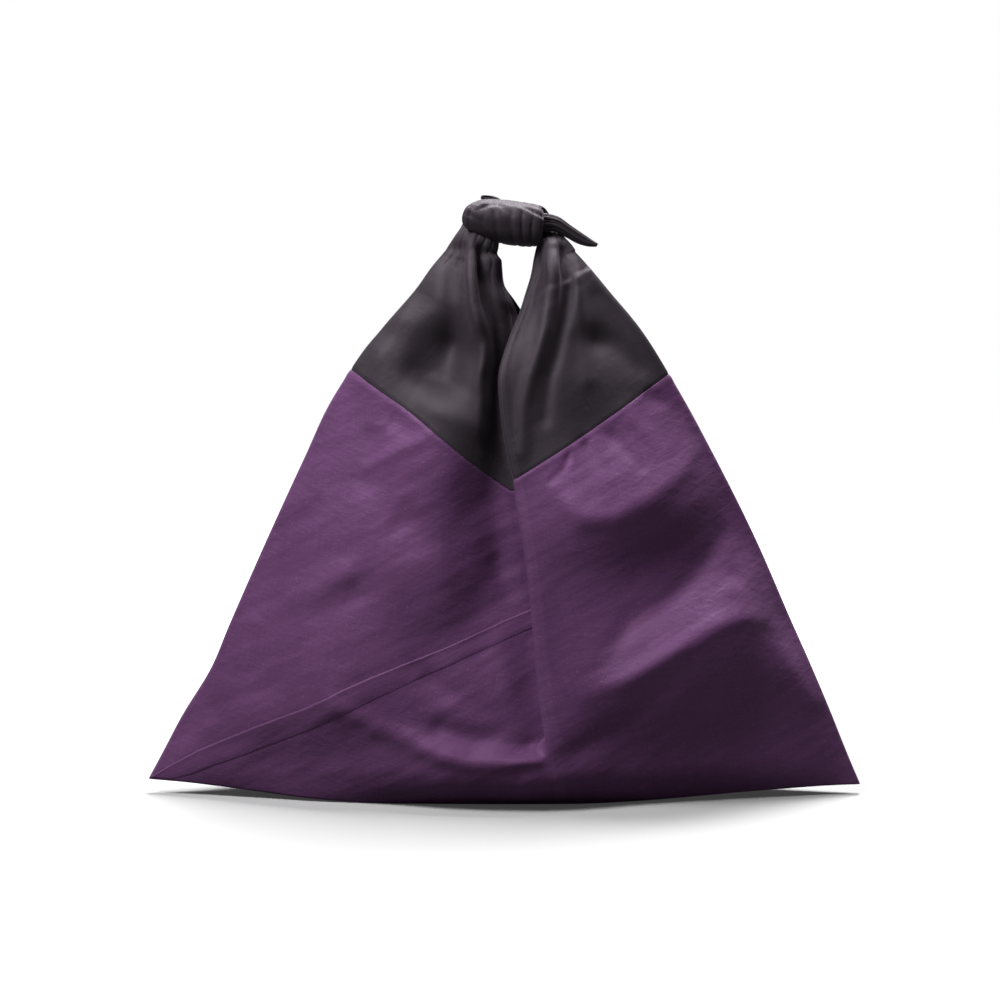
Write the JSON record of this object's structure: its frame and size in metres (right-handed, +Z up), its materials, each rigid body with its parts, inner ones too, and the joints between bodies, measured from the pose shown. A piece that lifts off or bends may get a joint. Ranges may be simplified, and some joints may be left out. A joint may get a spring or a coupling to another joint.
{
  "type": "azuma bag",
  "caption": "Standing cloth azuma bag: a purple triangular pouch with dark corner panels that rise as two horns and are tied in a knot as its handle.",
  "frame": {"origin": "middle of the bounding box at the height of the surface that the bag stands on", "axes": "+X to the right as seen from the front, +Y from the front to the back, +Z up through the knot"},
  "size_m": [0.58, 0.1638, 0.4888],
  "materials": {
    "purple_nylon": "satin",
    "dark_cotton": "matte"
  },
  "bodies": {
    "root": {"body": "purple_nylon", "horn_left": "dark_cotton", "horn_right": "dark_cotton"}
  },
  "joints": []
}
